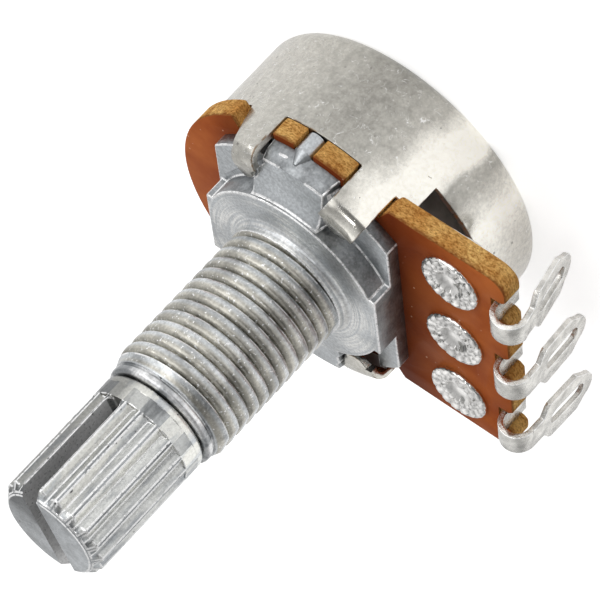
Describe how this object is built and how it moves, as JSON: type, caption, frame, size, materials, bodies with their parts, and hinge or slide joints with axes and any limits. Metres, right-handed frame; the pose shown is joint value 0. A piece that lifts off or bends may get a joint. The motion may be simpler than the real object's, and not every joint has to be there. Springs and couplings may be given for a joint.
{
  "type": "rotary potentiometer",
  "caption": "Panel-mount rotary potentiometer with threaded bushing, split knurled shaft, round steel cover and three solder lugs.",
  "frame": {"origin": "on the shaft axis, at the die-cast face that seats against the back of a panel", "axes": "+Z along the shaft towards its knob end, +X towards the solder lugs"},
  "size_m": [0.0218, 0.0166, 0.0273],
  "materials": {
    "zinc_casting": "die-cast zinc, bluish grey, matte with bright worn edges",
    "tin_plate": "tin-plated steel sheet, smudged",
    "phenolic_board": "orange-brown paper laminate with a glossy face and a fibrous golden edge",
    "carbon_ink": "dull black printed ink",
    "silver_ink": "dull printed silver",
    "tinned_lug": "tinned brass sheet, silver-white with rough sheared edges",
    "tinned_rivet": "bright tinned",
    "shaft_metal": "cast and worn, bright along its tooth edges",
    "black_moulding": "black moulded phenolic",
    "spring_bronze": "phosphor bronze sheet",
    "washer_nylon": "natural nylon"
  },
  "bodies": {
    "housing": {"front_plate": "zinc_casting", "cover_can": "tin_plate", "track_board": "phenolic_board", "resistive_track": "carbon_ink", "end_pad_first": "silver_ink", "end_pad_last": "silver_ink", "collector_ring": "silver_ink", "solder_lug_first": "tinned_lug", "solder_lug_middle": "tinned_lug", "solder_lug_last": "tinned_lug", "rivet_first": "tinned_rivet", "rivet_middle": "tinned_rivet", "rivet_last": "tinned_rivet"},
    "shaft_unit": {"shaft": "shaft_metal", "rotor": "black_moulding", "contact_spring": "spring_bronze", "thrust_washer": "washer_nylon"}
  },
  "joints": [
    {"name": "shaft_turn", "type": "hinge", "parent": "housing", "child": "shaft_unit", "pos_m": [0, 0, 0], "axis": [0, 0, 1], "range_deg": [-170, 130]}
  ]
}
